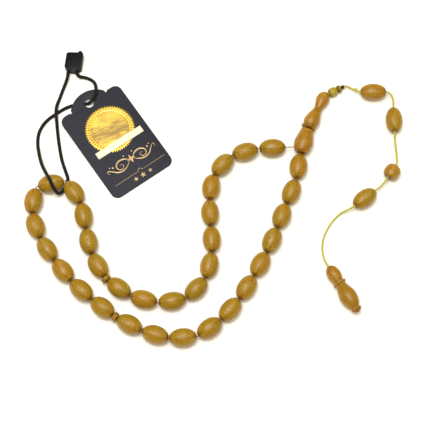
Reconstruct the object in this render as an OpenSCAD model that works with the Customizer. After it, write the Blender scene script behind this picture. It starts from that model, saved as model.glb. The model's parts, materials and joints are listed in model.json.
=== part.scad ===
// A string of 33 prayer beads with a leader, a tassel of beads and a hang tag, lying on a table.
// +Z is up, +X and +Y lie on the table, and the origin is on the table under the middle of the object.

/* [Beads] */
// Length of a prayer bead
bead_l = 11.8; // [11.6:0.1:12]
// Greatest diameter of a prayer bead
bead_d = 8; // [7.6:0.1:8.2]
// How full the bead's outline is: 2 is an ellipse, more is a barrel
bead_fullness = 2.25; // [2:0.05:2.4]
// Diameter of the hole along each prayer bead
bead_bore = 1.2; // [1:0.1:1.6]
// Diameter of a counting disc
disc_d = 4.6; // [4:0.1:5]
// Thickness of a counting disc
disc_t = 1.6; // [1.4:0.1:1.8]

/* [Cords] */
// Diameter of the loop cord that carries the beads
cord_d = 0.6; // [0.4:0.05:0.8]
// Diameter of the tassel thread
thread_d = 0.8; // [0.6:0.05:0.9]
// Diameter of the tag string
string_d = 1.2; // [1:0.05:1.25]

/* [Leader] */
// Greatest diameter of the leader's pear-shaped base
base_d = 8.4; // [8:0.1:8.6]
// Diameter of the hole along the leader's base
base_bore = 2.2; // [1.8:0.1:2.4]
// Diameter of the hole in the base's side, for the second strand
side_bore = 1.8; // [1.4:0.1:2]
// Diameter of the collar ring between base and stem
collar_d = 6.8; // [6.4:0.1:7]
// Diameter of the holes along the collar, the stem and the button
leader_bore = 1.8; // [1.6:0.1:2]

/* [Tassel] */
// Length of an oval tassel bead
tassel_bead_l = 12; // [11.6:0.1:12.2]
// Diameter of an oval tassel bead
tassel_bead_d = 7.5; // [7.2:0.1:7.8]
// Diameter of the barrel bead
barrel_d = 7.2; // [6.8:0.1:7.4]
// Length of the barrel bead
barrel_l = 6.8; // [6:0.1:7]
// Diameter of the holes in the tassel's beads
tassel_bore = 1.6; // [1.4:0.1:2]

/* [Tag] */
// Width of the card
card_w = 32; // [30:0.5:33]
// Length of the card's body, without its tab
card_l = 46.7; // [45:0.1:47.5]
// Thickness of the card
card_t = 0.5; // [0.4:0.05:0.7]
// Radius of the card's corners
card_corner_r = 3.3; // [2:0.1:4]
// Radius of the round tab at the card's top
tab_r = 11.6; // [11.2:0.1:12]
// Diameter of the hole for the string
card_hole_d = 4.4; // [4:0.1:5]
// Diameter of the seal, over its teeth
seal_d = 23.2; // [20:0.2:24]
// Number of teeth around the seal
seal_teeth = 60; // [40:2:72]

/* [Lock] */
// Width of the lock's body
lock_w = 7.6; // [7:0.1:8]
// Length of the lock's body
lock_l = 9.4; // [9:0.1:10]
// Thickness of the lock's body
lock_t = 4.4; // [4:0.1:5]

/* [Hidden] */
BEADS = 33;
DISC_VERTICES = [11, 22];
function two_digits(n) = str(n < 10 ? "0" : "", n);
function bead_name(n) = str("bead_", two_digits(n));

amber = "#b98a26";
orange_amber = "#b9781f";
pale_amber = "#b5a23c";
$fn = 48;
cord_sides = 8;
air = 0.05; // keeps resting pieces just off the table

// ---- curves ----

function unit(v) = v / norm(v);
function heading(a) = [cos(a), sin(a)];
function angle_of(v) = atan2(v[1], v[0]);

// The point at t, 0 to 1, of the smooth curve through p between points i and i + 1
function spline_point(p, i, t) =
    let (
        last = len(p) - 1,
        b = p[i],
        c = p[i + 1],
        a = i > 0 ? p[i - 1] : 2 * b - c,
        d = i + 1 < last ? p[i + 2] : 2 * c - b
    )
    b + t / 2 * (c - a + t * (2 * a - 5 * b + 4 * c - d + t * (3 * (b - c) + d - a)));

// A smooth curve through the points p, with a number of steps between each two
function spline(p, steps) = [
    for (i = [0:len(p) - 2]) for (k = [0:steps - 1]) spline_point(p, i, k / steps),
    p[len(p) - 1]
];

// The index of the first point of a line, from i on, that is at least d away from a place
function first_beyond(line, i, place, d) =
    i == len(line) - 1 || norm(line[i] - place) >= d ? i : first_beyond(line, i + 1, place, d);

// The places that straight links of the given lengths reach, end to end along a line
function chain(line, links, k, i, place) =
    k == len(links)
        ? [place]
        : let (
            j = first_beyond(line, i, place, links[k]),
            next = place + links[k] * unit(line[j] - place)
        )
        concat([place], chain(line, links, k + 1, j, next));

// ---- how the loop lies ----

bead_z = bead_d / 2;

// The loop's way round: from the leader's lower hole, by beads 1 to 33, to its side hole
loop_route = [
    [38.5, 18.2], [36.8, 6.5], [32, -5], [23, -27.5], [11, -48.5], [3, -58], [-7.5, -65.5],
    [-19.5, -66.5], [-31.5, -63], [-43, -57], [-62.5, -41], [-77, -21.5], [-81.5, -10],
    [-80, 2.6], [-67.2, 6], [-59.3, -5], [-57, -17], [-54, -29.5], [-47, -40.5], [-36, -48],
    [-24.5, -50.8], [-12, -48.8], [-3.5, -39.5], [-1, -27.5], [-2.5, -4], [-1, 8], [7.5, 17.5],
    [19.5, 21], [32.5, 21.5], [45, 21.5]
];

// Half of the gap between the two beads at a vertex, counted from the leader's base on.
// It is wider where two arms of the loop pivot, where the loop turns sharply and at the discs.
PIVOTS = [1, 8, 24, 32];
SHARP_BENDS = [25, 26, 30, 31];
half_gap = 0.18;
sharp_half_gap = 0.32;
pivot_half_gap = 0.4;
fold_half_gap = 0.9;
tag_half_gap = 0.95;
disc_half_gap = disc_t / 2 + 0.3;
function gap_at(v) =
    v == 17 ? fold_half_gap
    : v == 18 ? tag_half_gap
    : len(search(v, DISC_VERTICES)) > 0 ? disc_half_gap
    : len(search(v, PIVOTS)) > 0 ? pivot_half_gap
    : len(search(v, SHARP_BENDS)) > 0 ? sharp_half_gap
    : half_gap;

links = [for (n = [1:BEADS]) gap_at(n - 1) + bead_l + gap_at(n)];
// Vertex v is the cord's bend between beads v and v + 1
vertices = chain(spline(loop_route, 40), links, 0, 0, loop_route[0]);

function bead_heading(n) = angle_of(vertices[n] - vertices[n - 1]);
function bead_centre(n) = vertices[n - 1] + (gap_at(n - 1) + bead_l / 2) * heading(bead_heading(n));

// ---- how the leader lies ----

base_l = 12.2;
base_heading = 73;
stem_heading = 64;
leader_pitch = -2.7;
collar_t = 1;
stem_l = 18.6;
base_belly = 4.6; // how far up the base its widest place is
leader_gap = 0.45;
stem_gap = 0.15;
side_hole_up = 3.5;

function direction(a, pitch) = [cos(a) * cos(pitch), sin(a) * cos(pitch), sin(pitch)];
base_way = direction(base_heading, leader_pitch);
stem_way = direction(stem_heading, leader_pitch);
base_z = base_d / 2 + air - base_belly * sin(leader_pitch);
base_at = concat(vertices[0] + leader_gap * heading(base_heading), base_z);
collar_at = base_at + (base_l + leader_gap) * base_way;
stem_at = collar_at + (collar_t + stem_gap) * stem_way;

// ---- how the tassel lies ----

tassel_z = tassel_bead_d / 2 + air;
button_r = 2.15;
button_l = 4.6;
button_at = [54.4, 49.45, button_r + air];
button_heading = 29;
button_way = direction(button_heading, 0);
washer_r = 1.8;
washer_t = 1.5;
washer_along = 3.25; // from the button's middle
washer_at = button_at + washer_along * button_way;
knot_r = 1;
knot_bore = 1.1; // the loop of the knot that the thread runs through
knot_along = 5.1;
knot_at = button_at + knot_along * button_way;
bead_1_at = [72.7, 48.8, tassel_z];
bead_1_heading = 0;
bead_2_at = [81.6, 34.9, tassel_z];
bead_2_heading = 270;
barrel_at = [79.6, 9.8, barrel_d / 2 + air];
barrel_heading = 234;
bead_3_at = [66.8, -2.8, tassel_z];
bead_3_heading = 217;
pendant_at = [50.1, -34.3, 2.9];
pendant_heading = -60;
pendant_pitch = 3.7;

// The tassel's thread in three stretches, which meet just above the second and the third oval bead
thread_1_route = [
    [50.4, 47.26, 3], [50.98, 48.42, 2.92], [51.6, 48.75, 2.6], [52.5, 48.55, 2.3],
    [54.4, 49.45, 2.2], [56.7, 50.7, 2.2], [58.86, 51.92, 2.2], [60.3, 52.5, 2.1],
    [61.6, 52.2, 1.8], [63, 51.5, 1.6], [64.9, 50.4, 2.4], [66.4, 49.1, 3.5], [68.2, 48.8, 3.77],
    [72.7, 48.8, 3.77], [77.2, 48.8, 3.77], [79.3, 48.6, 3.72], [81, 47.4, 3.5],
    [81.7, 45.2, 3.4], [81.7, 43.2, 3.65], [81.6, 41.8, 3.75]
];
thread_2_route = [
    [81.6, 41.2, 3.77], [81.6, 38, 3.77], [81.6, 34.9, 3.77], [81.6, 31, 3.77],
    [81.6, 27, 3.77], [81.7, 24.5, 3.2], [82, 21, 2.6], [82.2, 17.4, 2.8], [82, 14.4, 3.4],
    [81.2, 12, 3.62], [79.6, 9.8, 3.62], [78, 7.6, 3.62], [76.4, 5.4, 3.5],
    [74.5, 3.2, 3.5], [73, 1.9, 3.7], [72.3, 1.35, 3.77]
];
thread_3_route = [
    [71.85, 1, 3.77], [69.2, -1, 3.77], [66.8, -2.8, 3.77], [64, -4.9, 3.77],
    [60.9, -7.2, 3.7], [59.2, -7.9, 2.9], [56.9, -8.6, 1.5], [54.7, -10.2, 0.7],
    [52.4, -12.8, 0.45], [50, -16.4, 0.45], [48.1, -21, 0.45], [47.6, -25.8, 0.5],
    [48.2, -30, 1], [49.2, -32.7, 2.2], [50.1, -34.3, 2.85], [51.2, -36.2, 3]
];

// ---- how the tag lies ----

card_tilt = 1.9; // the string under the tab lifts that end
card_heading = 35;
card_top = 0.8; // the body's upper edge, up the card from the hole's centre
card_bottom = card_top - card_l;
card_hole_at = [-57.6, 44, air - card_bottom * sin(card_tilt)];
tab_up = -5.8; // the middle of the tab's round
print_x = 0.8; // the seal and the label sit a little off the card's middle line
seal_up = -16;
seal_t = 0.12;
label_up = -23.9;
label_w = 24.4;
label_l = 3.2;
label_t = 0.1;
notch_r = 0.6;
tooth_depth = 0.6;

lock_at = [-65.2, 64.1, air];
lock_heading = -6;
lock_bore_z = lock_t / 2;
lock_chamfer = 1.6;
socket_x = -2.2; // across the lock, of the string's moulded-in end
plug_x = 2.1;
plug_r = 0.9;
plug_clearance = 0.06;
plug_start = -3.3;
plug_l = 9.5;

// The tag string: from the lock, under the loop between beads 18 and 19, back over bead 18,
// up through the card's hole and back to the lock's plug
string_route = [
    [-67.8, 59.4, 2.2], [-68.2, 56.4, 1.7], [-69.8, 51.8, 0.8], [-71.3, 47, 0.7],
    [-72.4, 43.2, 1.3], [-72.6, 39.8, 1.95], [-72.4, 36.4, 1.3], [-71.9, 32, 0.65],
    [-70.9, 25, 0.65], [-69.3, 17, 0.65], [-67.4, 11.4, 0.65], [-66.2, 7.8, 0.65],
    [-66.6, 5.4, 0.65], [-67.5, 2.8, 0.75], [-68.6, 0.8, 1.7], [-69.7, -0.4, 3.4],
    [-70.8, -0.1, 5.9], [-71.9, 1.5, 8], [-73.2, 4.4, 8.85], [-75.1, 7.8, 7.9],
    [-77, 11.6, 5.5], [-78.5, 15.6, 3.2], [-79.7, 20, 1.3], [-80.5, 24.5, 0.65],
    [-80.3, 29, 0.65], [-79, 32.6, 0.65], [-76.6, 36, 0.65], [-72.4, 39.4, 0.65],
    [-68.5, 42, 0.65], [-65, 43.4, 0.65], [-62, 44, 0.65], [-60.2, 44.1, 0.67],
    [-58.9, 44.1, 0.95], [-57.6, 44.2, 1.75], [-56.5, 44.7, 2.7], [-55.6, 45.7, 3.15],
    [-54.8, 47.5, 3.25], [-54.5, 49.6, 3.25], [-54.7, 51.8, 2.7], [-55.6, 54.6, 1.3],
    [-57.6, 56.4, 0.8], [-60.2, 57.2, 1.2], [-62.3, 57.4, 1.7], [-63.5, 58.4, 2.1],
    [-63.58, 59.8, 2.2]
];

// ---- building blocks ----

// Puts a turned piece with its axis along a heading, its lower end at a place
module lay(place, along, pitch = 0) {
    translate(place) rotate([0, 90 - pitch, along]) children();
}

// A turned solid from its outline of [radius, height] points, with a hole along it
module turned(outline, bore) {
    inner = bore / 2;
    ends = [[inner, outline[len(outline) - 1][1]], [inner, outline[0][1]]];
    rotate_extrude() polygon(concat(outline, ends));
}

// The outline of a full oval, from one mouth of its hole to the other, centred on 0
oval_steps = 18;
function oval(l, d, fullness, bore) =
    let (first = asin(pow(bore / d, fullness / 2)), power = 2 / fullness)
    [
        for (k = [0:oval_steps])
            let (a = first + k * (180 - 2 * first) / oval_steps)
            [d / 2 * pow(sin(a), power), -l / 2 * sign(cos(a)) * pow(abs(cos(a)), power)]
    ];

// A bored oval bead, centred on its place
module oval_bead(place, along, l, d, fullness, bore) {
    outline = oval(l, d, fullness, bore);
    lay(place, along) rotate_extrude() polygon(outline);
}

// A round tube of a diameter swept along points
module tube(points, d, sides = cord_sides) {
    last = len(points) - 1;
    rings = [
        for (i = [0:last])
            let (
                way = unit(points[min(i + 1, last)] - points[max(i - 1, 0)]),
                side = unit(cross(way, [0, 0, 1])),
                up = cross(side, way)
            )
            for (k = [0:sides - 1])
                points[i] + d / 2 * (cos(360 * k / sides) * side + sin(360 * k / sides) * up)
    ];
    walls = [
        for (i = [0:last - 1]) for (k = [0:sides - 1])
            let (next = (k + 1) % sides)
            [i * sides + k, i * sides + next, (i + 1) * sides + next, (i + 1) * sides + k]
    ];
    caps = [
        [for (k = [sides - 1:-1:0]) k],
        [for (k = [0:sides - 1]) last * sides + k]
    ];
    polyhedron(rings, concat(walls, caps), convexity = 10);
}

// The cord between two vertices: straight through each bead, and rounded at each bend
cord_end_gap = 0.2;
bend_reach = 0.3;
function on_cord(v, back, ahead) =
    concat(
        vertices[v]
            - back * heading(bead_heading(max(v, 1)))
            + ahead * heading(bead_heading(min(v + 1, BEADS))),
        bead_z
    );
function cord_path(from, to) = concat(
    [on_cord(from, 0, cord_end_gap)],
    [for (v = [from + 1:1:to - 1]) each [on_cord(v, bend_reach, 0), on_cord(v, 0, bend_reach)]],
    [on_cord(to, cord_end_gap, 0)]
);

// ---- the loop ----

module bead(n) {
    color(amber) oval_bead(
        concat(bead_centre(n), bead_z), bead_heading(n), bead_l, bead_d, bead_fullness, bead_bore
    );
}

// A small disc with a groove round its rim, square to the cord's bend
module disc(v) {
    groove = 0.3;
    half = disc_t / 2;
    rim = disc_d / 2;
    edge = 0.15;
    outline = [
        [rim - edge, -half], [rim, -half + edge], [rim, -half / 3], [rim - groove, 0],
        [rim, half / 3], [rim, half - edge], [rim - edge, half]
    ];
    color(amber)
        lay(concat(vertices[v], bead_z), (bead_heading(v) + bead_heading(v + 1)) / 2)
            turned(outline, bead_bore);
}

module cord_leader() {
    into_base = 1.6;
    slack = 3.4; // bare cord between the last bead and the base
    into_side = 2;
    bore_z = bead_z + 0.15; // the middle of the base's bore, a little higher than the beads'
    up_base = concat(vertices[0] + into_base * heading(base_heading), bore_z);
    last_way = heading(bead_heading(BEADS));
    in_side = concat(vertices[BEADS] + (slack + into_side) * last_way, bead_z);
    color("#3a352c") {
        tube(concat([up_base, on_cord(0, 0, 0)], [on_cord(1, cord_end_gap, 0)]), cord_d);
        tube([on_cord(BEADS - 1, 0, cord_end_gap), on_cord(BEADS, 0, 0), in_side], cord_d);
    }
}
module cord_outer() { color("#3a352c") tube(cord_path(PIVOTS[0], PIVOTS[1]), cord_d); }
module cord_tip() { color("#3a352c") tube(cord_path(PIVOTS[1], PIVOTS[2]), cord_d); }
module cord_inner() { color("#3a352c") tube(cord_path(PIVOTS[2], PIVOTS[3]), cord_d); }

// ---- the leader ----

outline_steps = 4;

module leader_base() {
    r = base_d / 2;
    outline = spline(
        [
            [1.8, 0], [3.1, 0.9], [r, base_belly], [r - 0.4, 7.2], [r - 1.1, 9.8],
            [2.75, 11.4], [1.5, base_l]
        ],
        outline_steps
    );
    side_axis_at = base_at + side_hole_up * base_way;
    color(orange_amber) difference() {
        lay(base_at, base_heading, leader_pitch) turned(outline, base_bore);
        lay(side_axis_at, bead_heading(BEADS) + 180) cylinder(h = base_d, d = side_bore);
    }
}

module leader_collar() {
    r = collar_d / 2;
    edge = 0.3;
    outline = [
        [r - 2 * edge, 0], [r, edge], [r, collar_t - edge], [r - 2 * edge, collar_t]
    ];
    color(orange_amber)
        lay(collar_at, stem_heading, leader_pitch) turned(outline, leader_bore);
}

module leader_stem() {
    outline = spline(
        [
            [2.8, 0], [3.4, 1.5], [3.6, 3.3], [3, 6], [2, 9], [1.95, 10.8],
            [2.75, 13.2], [3.05, 15], [2.65, 17.1], [1.5, stem_l]
        ],
        outline_steps
    );
    color(orange_amber) lay(stem_at, stem_heading, leader_pitch) turned(outline, leader_bore);
}

module button() {
    color(pale_amber)
        oval_bead(button_at, button_heading, button_l, 2 * button_r, 2.4, leader_bore);
}

module washer() {
    half = washer_t / 2;
    edge = 0.35;
    outline = [
        [washer_r - edge, -half], [washer_r, -half + edge], [washer_r, half - edge],
        [washer_r - edge, half]
    ];
    color("#8a6a32") lay(washer_at, button_heading) turned(outline, tassel_bore);
}

// ---- the tassel ----

cord_steps = 2;

module thread_knot() {
    color("#4d5020")
        oval_bead(knot_at, button_heading, 2 * knot_r, 2 * knot_r, 2, knot_bore);
}
module thread_1() { color("#a9a83c") tube(spline(thread_1_route, cord_steps), thread_d); }
module thread_2() { color("#a9a83c") tube(spline(thread_2_route, cord_steps), thread_d); }
module thread_3() { color("#a9a83c") tube(spline(thread_3_route, cord_steps), thread_d); }

tassel_fullness = 2.2;
module tassel_oval(place, along) {
    color(amber)
        oval_bead(place, along, tassel_bead_l, tassel_bead_d, tassel_fullness, tassel_bore);
}
module tassel_bead_1() { tassel_oval(bead_1_at, bead_1_heading); }
module tassel_bead_2() { tassel_oval(bead_2_at, bead_2_heading); }
module tassel_bead_3() { tassel_oval(bead_3_at, bead_3_heading); }

module tassel_barrel() {
    half = barrel_l / 2;
    r = barrel_d / 2;
    outline = spline(
        [[r - 1.1, -half], [r - 0.35, -half + 0.7], [r, 0], [r - 0.35, half - 0.7], [r - 1.1, half]],
        outline_steps
    );
    color(amber) lay(barrel_at, barrel_heading) turned(outline, tassel_bore);
}

module pendant() {
    blind_l = 6;
    outline = spline(
        [
            [1.4, 0], [2.6, 1.5], [3.1, 4.2], [2.7, 6.4], [2.3, 7.6], [3.05, 8.3], [3.05, 8.9],
            [2.4, 9.7], [2.9, 11.6], [3.7, 14.2], [3.85, 16.2], [3.3, 19], [1.9, 21.4],
            [2.15, 21.9], [2.1, 22.4], [1.3, 23.2], [0.6, 23.7]
        ],
        outline_steps
    );
    color(orange_amber) difference() {
        lay(pendant_at, pendant_heading, pendant_pitch) rotate_extrude()
            polygon(concat([[0, 0]], outline, [[0, 24]]));
        lay(pendant_at, pendant_heading, pendant_pitch)
            translate([0, 0, -1]) cylinder(h = blind_l + 1, d = tassel_bore);
    }
}

// ---- the tag ----

// Puts a piece on the card: the origin is the hole's centre on the card's underside
module on_card() {
    translate(card_hole_at) rotate([card_tilt, 0, card_heading]) children();
}

module card_outline() {
    r = card_corner_r;
    translate([-card_w / 2 + r, card_bottom]) square([card_w - 2 * r, card_l]);
    translate([-card_w / 2, card_bottom + r]) square([card_w, card_l - 2 * r]);
    for (x = [-1, 1]) for (y = [card_bottom + r, card_top - r])
        translate([x * (card_w / 2 - r), y]) circle(r);
    translate([0, tab_up]) circle(tab_r, $fn = 96);
}

module tag_card() {
    tab_meets = sqrt(tab_r * tab_r - (card_top - tab_up) * (card_top - tab_up));
    color("#3a3942") on_card() linear_extrude(card_t) difference() {
        card_outline();
        circle(d = card_hole_d);
        for (x = [-1, 1]) translate([x * tab_meets, card_top]) circle(notch_r);
    }
}

module tag_seal() {
    tips = [
        for (k = [0:2 * seal_teeth - 1])
            (seal_d / 2 - (k % 2) * tooth_depth) * heading(180 * k / seal_teeth)
    ];
    color("#c9a03a") on_card() translate([print_x, seal_up, card_t])
        linear_extrude(seal_t) polygon(tips);
}

module tag_label() {
    color("#e8dcb4") on_card()
        translate([print_x - label_w / 2, label_up - label_l / 2, card_t + seal_t])
            cube([label_w, label_l, label_t]);
}

module tag_string() {
    color("#17161a") tube(spline(string_route, cord_steps), string_d);
}

// ---- the lock ----

module in_lock() {
    translate(lock_at) rotate([0, 0, lock_heading]) children();
}

// Lays a round piece along the lock, at a place across it and a height
module along_lock(x, y) {
    in_lock() translate([x, y, lock_bore_z]) rotate([-90, 0, 0]) children();
}

module lock_body() {
    w = lock_w / 2;
    l = lock_l / 2;
    c = lock_chamfer;
    outline = [
        [-w, -l + c], [-w + c, -l], [w - 1.4 * c, -l], [w, -l + c], [w, l - 0.4], [w - 0.4, l],
        [-w + 0.8, l - 0.5], [-w, l - 1.2]
    ];
    socket_depth = 3;
    color("#1b1c26") difference() {
        in_lock() linear_extrude(lock_t) polygon(outline);
        along_lock(socket_x, -l - 1) cylinder(h = socket_depth + 1, d = string_d + 0.1);
        along_lock(plug_x, -l - 1)
            cylinder(h = lock_l + 2, r = plug_r + plug_clearance);
    }
}

module lock_plug() {
    color("#22232e") along_lock(plug_x, plug_start) cylinder(h = plug_l, r = plug_r);
}

for (n = [1:BEADS]) bead(n);
disc(DISC_VERTICES[0]);  // disc_1
disc(DISC_VERTICES[1]);  // disc_2
cord_leader();
cord_outer();
cord_tip();
cord_inner();
leader_base();
leader_collar();
leader_stem();
button();
washer();
thread_knot();
thread_1();
thread_2();
thread_3();
tassel_bead_1();
tassel_bead_2();
tassel_barrel();
tassel_bead_3();
pendant();
tag_card();
tag_seal();
tag_label();
tag_string();
lock_body();
lock_plug();
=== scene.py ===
"""A string of amber prayer beads with its leader, tassel and hang tag: the looks around the CAD frame."""
import json
import math
import random

import bmesh
import bpy
from mathutils import Matrix, Quaternion, Vector, noise
from mathutils.bvhtree import BVHTree


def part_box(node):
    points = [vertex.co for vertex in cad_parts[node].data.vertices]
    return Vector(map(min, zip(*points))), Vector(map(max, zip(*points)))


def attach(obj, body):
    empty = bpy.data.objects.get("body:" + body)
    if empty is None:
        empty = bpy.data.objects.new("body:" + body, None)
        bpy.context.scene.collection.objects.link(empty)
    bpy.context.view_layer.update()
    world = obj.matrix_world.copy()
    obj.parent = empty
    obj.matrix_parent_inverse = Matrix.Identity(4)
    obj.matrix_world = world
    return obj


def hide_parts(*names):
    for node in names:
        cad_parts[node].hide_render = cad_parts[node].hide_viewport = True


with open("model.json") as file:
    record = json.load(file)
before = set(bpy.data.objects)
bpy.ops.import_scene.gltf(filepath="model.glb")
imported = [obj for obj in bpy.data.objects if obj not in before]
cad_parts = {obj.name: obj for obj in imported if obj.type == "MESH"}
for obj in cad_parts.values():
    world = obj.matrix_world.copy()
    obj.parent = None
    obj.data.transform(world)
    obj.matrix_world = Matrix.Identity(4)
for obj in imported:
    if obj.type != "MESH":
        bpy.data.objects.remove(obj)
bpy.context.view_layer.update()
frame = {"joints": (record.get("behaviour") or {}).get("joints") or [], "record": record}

MM = 0.001
BEADS = 33
TURN = 2 * math.pi

body_of = {
    node: body for body, nodes in frame["record"]["behaviour"]["bodies"].items() for node in nodes
}
joint_of = {joint["child"]: joint for joint in frame["joints"]}


def place(x, y, z):
    """A place in the frame, given in millimetres."""
    return Vector((x, y, z)) * MM


def way(heading, pitch=0):
    """The unit vector of a heading on the table and a pitch above it, in degrees."""
    a, b = math.radians(heading), math.radians(pitch)
    return Vector((math.cos(a) * math.cos(b), math.sin(a) * math.cos(b), math.sin(b)))


def middle(node):
    low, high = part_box(node)
    return (low + high) / 2


def axis_of(body):
    return Vector(joint_of[body]["axis"]).normalized()


def new_object(name, data):
    made = bpy.data.objects.new(name, data)
    bpy.context.scene.collection.objects.link(made)
    return made


# ---- camera ----

CAMERA_TILT = math.radians(18.2)
CAMERA_DISTANCE = 0.541
CAMERA_AIM = place(-1, -9.5, 4)

camera = new_object("camera", bpy.data.cameras.new("camera"))
camera.data.lens = 103.3
camera.rotation_euler = (CAMERA_TILT, 0, 0)
camera.location = CAMERA_AIM + CAMERA_DISTANCE * Vector(
    (0, -math.sin(CAMERA_TILT), math.cos(CAMERA_TILT))
)
bpy.context.scene.camera = camera


# ---- mesh building ----


def finish_piece(name, mesh_or_bmesh, node, material, sharp=None):
    """Makes the object, with its material and slot, and has it stand for a CAD node if one is named."""
    if isinstance(mesh_or_bmesh, bmesh.types.BMesh):
        mesh = bpy.data.meshes.new(name)
        bmesh.ops.recalc_face_normals(mesh_or_bmesh, faces=mesh_or_bmesh.faces)
        mesh_or_bmesh.to_mesh(mesh)
        mesh_or_bmesh.free()
    else:
        mesh = mesh_or_bmesh
    for polygon in mesh.polygons:
        polygon.use_smooth = True
    if sharp is not None:
        mesh.set_sharp_from_angle(angle=math.radians(sharp))
    piece = new_object(name, mesh)
    mesh.materials.append(material)
    if node:
        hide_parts(node)
    return piece


def mesh_of(name, vertices, faces, **attributes):
    """A mesh with its points' attributes, each a list of numbers or of vectors."""
    mesh = bpy.data.meshes.new(name)
    mesh.from_pydata([tuple(v) for v in vertices], [], faces)
    for key, values in attributes.items():
        if isinstance(values[0], (float, int)):
            layer = mesh.attributes.new(key, "FLOAT", "POINT")
            layer.data.foreach_set("value", [float(v) for v in values])
        else:
            layer = mesh.attributes.new(key, "FLOAT_VECTOR", "POINT")
            layer.data.foreach_set("vector", [c for v in values for c in v])
    return mesh


def smooth_line(points, steps):
    """The same smooth curve through the points as the CAD's, with a number of steps between each two."""
    last = len(points) - 1
    line = []
    for i in range(last):
        b, c = points[i], points[i + 1]
        a = points[i - 1] if i > 0 else 2 * b - c
        d = points[i + 2] if i + 1 < last else 2 * c - b
        for k in range(steps):
            t = k / steps
            line.append(
                b + t / 2 * (c - a + t * (2 * a - 5 * b + 4 * c - d + t * (3 * (b - c) + d - a)))
            )
    return line + [points[last]]


def evenly(line, gap):
    """A line's points again, moved to be a gap apart."""
    lengths = [0]
    for a, b in zip(line, line[1:]):
        lengths.append(lengths[-1] + (b - a).length)
    count = max(2, round(lengths[-1] / gap))
    out, j = [], 0
    for k in range(count + 1):
        s = lengths[-1] * k / count
        while j < len(line) - 2 and lengths[j + 1] < s:
            j += 1
        t = (s - lengths[j]) / max(lengths[j + 1] - lengths[j], 1e-9)
        out.append(line[j].lerp(line[j + 1], min(t, 1)))
    return out


def carried_frames(line):
    """For each point of a line, its direction and two sides that turn as little as they can."""
    ways = [
        (line[min(i + 1, len(line) - 1)] - line[max(i - 1, 0)]).normalized() for i in range(len(line))
    ]
    side = ways[0].orthogonal().normalized()
    frames = []
    for i, direction in enumerate(ways):
        if i:
            side = ways[i - 1].rotation_difference(direction) @ side
        side = (side - side.dot(direction) * direction).normalized()
        frames.append((direction, side, direction.cross(side)))
    return frames


def strand_rings(line, frames, offset, radius, phase, lay, sides):
    """Rings of one ply of a twisted cord: it winds round the line at an offset, once every lay."""
    centres, travelled = [], 0
    for i, (point, (_, side, up)) in enumerate(zip(line, frames)):
        if i:
            travelled += (point - line[i - 1]).length
        turn = phase + TURN * travelled / lay
        centres.append(point + offset * (math.cos(turn) * side + math.sin(turn) * up))
    return [
        [
            centre + radius * (math.cos(TURN * k / sides) * side + math.sin(TURN * k / sides) * up)
            for k in range(sides)
        ]
        for centre, (_, side, up) in zip(centres, carried_frames(centres))
    ]


PLY_SWELL = 0.98  # soft plies bulge into each other


def twisted_cord(name, line, diameter, plies, lay, sides=8):
    """A mesh of plies wound round each other along a line. Its "weave" attribute holds how far along
    a point is in millimetres, its place round its ply from 0 to 1, and which ply it is on."""
    frames = carried_frames(line)
    share = 1 / (1 + 1 / math.sin(math.pi / plies))
    radius = diameter / 2 * share
    vertices, faces, weave = [], [], []
    for ply in range(plies):
        rings = strand_rings(
            line, frames, diameter / 2 - radius, radius * PLY_SWELL, TURN * ply / plies, lay, sides
        )
        start, travelled = len(vertices), 0
        for i, ring in enumerate(rings):
            if i:
                travelled += (line[i] - line[i - 1]).length
            vertices += ring
            weave += [(travelled / MM, k / sides, ply) for k in range(sides)]
        for i in range(len(rings) - 1):
            for k in range(sides):
                a, b = start + i * sides + k, start + i * sides + (k + 1) % sides
                faces.append((a, b, b + sides, a + sides))
        faces.append(tuple(start + k for k in reversed(range(sides))))
        end = start + (len(rings) - 1) * sides
        faces.append(tuple(end + k for k in range(sides)))
    return mesh_of(name, vertices, faces, weave=weave)


# ---- materials ----


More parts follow.
